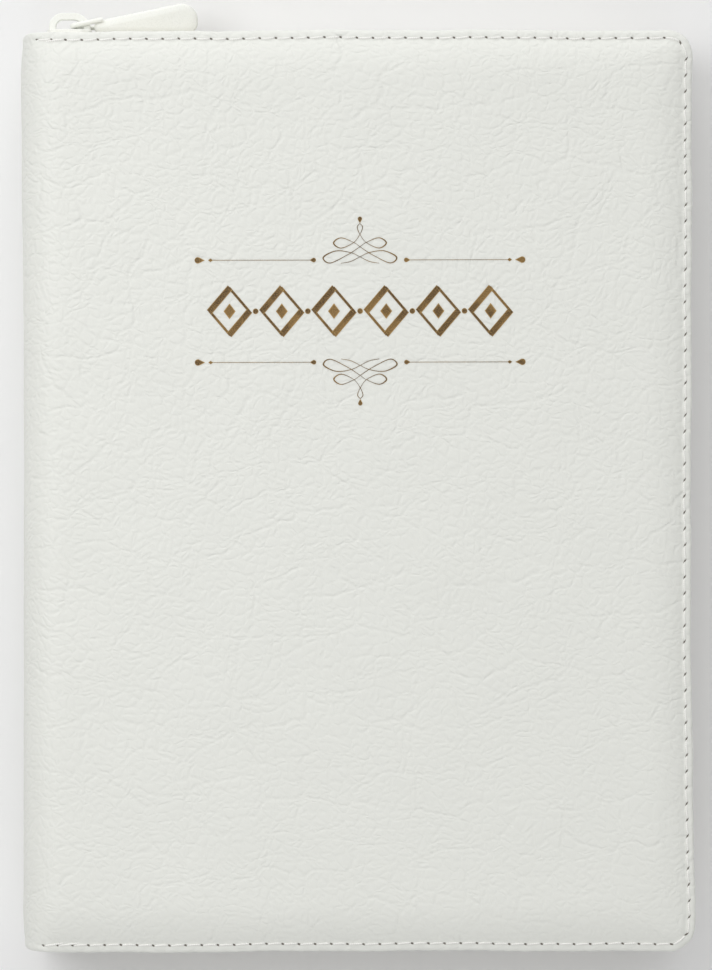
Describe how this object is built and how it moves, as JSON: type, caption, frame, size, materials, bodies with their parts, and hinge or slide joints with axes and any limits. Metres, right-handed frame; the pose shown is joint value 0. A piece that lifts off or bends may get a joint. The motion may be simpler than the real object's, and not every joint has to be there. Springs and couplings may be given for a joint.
{
  "type": "zipped leather bible",
  "caption": "Thick book in a padded pebbled-leather case with sewn edges, closed on three sides by a zip with a hanging pull; it opens flat at the middle.",
  "frame": {"origin": "centre of the back cover's flat outer face, on which the closed book lies", "axes": "+X towards the fore edge (the spine is on -X), +Y towards the head, +Z out of the front cover"},
  "size_m": [0.1808, 0.2571, 0.038],
  "materials": {
    "leather_white": "soft pebbled grain, satin",
    "foam": "open-cell foam",
    "board": "grey board",
    "lining": "fine weave",
    "thread": "twisted thread",
    "zip_tape": "woven tape",
    "zip_plastic": "moulded",
    "painted_zinc": "white gloss paint",
    "paper": "thin book paper, gilt edges",
    "end_paper": "plain laid",
    "mull": "open weave",
    "band": "woven silk",
    "ribbon_red": "satin ribbon",
    "ribbon_gold": "satin ribbon"
  },
  "bodies": {
    "back_cover": {"back_leather": "leather_white", "back_foam": "foam", "back_board": "board", "back_lining": "lining", "back_stitching": "thread", "back_tape": "zip_tape", "back_teeth": "zip_plastic", "back_stops": "zip_plastic", "back_flyleaf": "end_paper", "back_mull": "mull", "back_head_band": "band", "back_tail_band": "band", "section_12": "paper"},
    "spine": {"spine_leather": "leather_white", "spine_strip": "board", "spine_cloth": "lining"},
    "front_cover": {"front_leather": "leather_white", "front_foam": "foam", "front_board": "board", "front_lining": "lining", "front_stitching": "thread", "front_tape": "zip_tape", "front_teeth": "zip_plastic", "front_stops": "zip_plastic", "front_flyleaf": "end_paper", "front_mull": "mull", "front_head_band": "band", "front_tail_band": "band", "section_1": "paper"},
    "gathering_2": {"section_2": "paper"},
    "gathering_3": {"section_3": "paper"},
    "gathering_4": {"section_4": "paper"},
    "gathering_5": {"section_5": "paper"},
    "gathering_6": {"section_6": "paper"},
    "gathering_7": {"section_7": "paper", "ribbon_long": "ribbon_red", "ribbon_short": "ribbon_gold"},
    "gathering_8": {"section_8": "paper"},
    "gathering_9": {"section_9": "paper"},
    "gathering_10": {"section_10": "paper"},
    "gathering_11": {"section_11": "paper"},
    "slider": {"slider_body": "painted_zinc", "slider_bridge": "painted_zinc"},
    "pull": {"pull_tab": "painted_zinc"}
  },
  "joints": [
    {"name": "spine_tilt", "type": "hinge", "parent": "back_cover", "child": "spine", "pos_m": [-0.088, 0, 0.002], "axis": [0, -1, 0], "range_deg": [0, 90.5]},
    {"name": "front_cover_open", "type": "hinge", "parent": "spine", "child": "front_cover", "pos_m": [-0.088, 0, 0.036], "axis": [0, -1, 0], "range_deg": [0, 90], "deforming": ["front_mull", "back_mull", "front_head_band", "front_tail_band", "back_head_band", "back_tail_band"]},
    {"name": "gathering_2_draw", "type": "slide", "parent": "front_cover", "child": "gathering_2", "axis": [-1, 0, 0], "range_m": [0, 0.0043]},
    {"name": "gathering_3_draw", "type": "slide", "parent": "front_cover", "child": "gathering_3", "axis": [-1, 0, 0], "range_m": [0, 0.0081]},
    {"name": "gathering_4_draw", "type": "slide", "parent": "front_cover", "child": "gathering_4", "axis": [-1, 0, 0], "range_m": [0, 0.0119]},
    {"name": "gathering_5_draw", "type": "slide", "parent": "front_cover", "child": "gathering_5", "axis": [-1, 0, 0], "range_m": [0, 0.0157]},
    {"name": "gathering_6_draw", "type": "slide", "parent": "front_cover", "child": "gathering_6", "axis": [-1, 0, 0], "range_m": [0, 0.0195]},
    {"name": "gathering_7_draw", "type": "slide", "parent": "back_cover", "child": "gathering_7", "axis": [-1, 0, 0], "range_m": [0, 0.0195]},
    {"name": "gathering_8_draw", "type": "slide", "parent": "back_cover", "child": "gathering_8", "axis": [-1, 0, 0], "range_m": [0, 0.0157]},
    {"name": "gathering_9_draw", "type": "slide", "parent": "back_cover", "child": "gathering_9", "axis": [-1, 0, 0], "range_m": [0, 0.0119]},
    {"name": "gathering_10_draw", "type": "slide", "parent": "back_cover", "child": "gathering_10", "axis": [-1, 0, 0], "range_m": [0, 0.0081]},
    {"name": "gathering_11_draw", "type": "slide", "parent": "back_cover", "child": "gathering_11", "axis": [-1, 0, 0], "range_m": [0, 0.0043]},
    {"name": "slider_travel", "type": "slide", "parent": "back_cover", "child": "slider", "axis": [1, 0, 0], "range_m": [0, 0.15], "deforming": ["front_teeth", "back_teeth"]},
    {"name": "pull_swing", "type": "hinge", "parent": "slider", "child": "pull", "pos_m": [-0.0771, 0.1269, 0.019], "axis": [0, 0, 1], "range_deg": [0, 125]}
  ],
  "couplings": [
    {"joint": "spine_tilt", "follows": "front_cover_open", "ratio": 1},
    {"joint": "gathering_2_draw", "follows": "front_cover_open", "m_per_rad": 0.0024192},
    {"joint": "gathering_3_draw", "follows": "front_cover_open", "m_per_rad": 0.0048383},
    {"joint": "gathering_4_draw", "follows": "front_cover_open", "m_per_rad": 0.0072575},
    {"joint": "gathering_5_draw", "follows": "front_cover_open", "m_per_rad": 0.0096766},
    {"joint": "gathering_6_draw", "follows": "front_cover_open", "m_per_rad": 0.012096},
    {"joint": "gathering_7_draw", "follows": "front_cover_open", "m_per_rad": 0.012096},
    {"joint": "gathering_8_draw", "follows": "front_cover_open", "m_per_rad": 0.0096766},
    {"joint": "gathering_9_draw", "follows": "front_cover_open", "m_per_rad": 0.0072575},
    {"joint": "gathering_10_draw", "follows": "front_cover_open", "m_per_rad": 0.0048383},
    {"joint": "gathering_11_draw", "follows": "front_cover_open", "m_per_rad": 0.0024192}
  ]
}
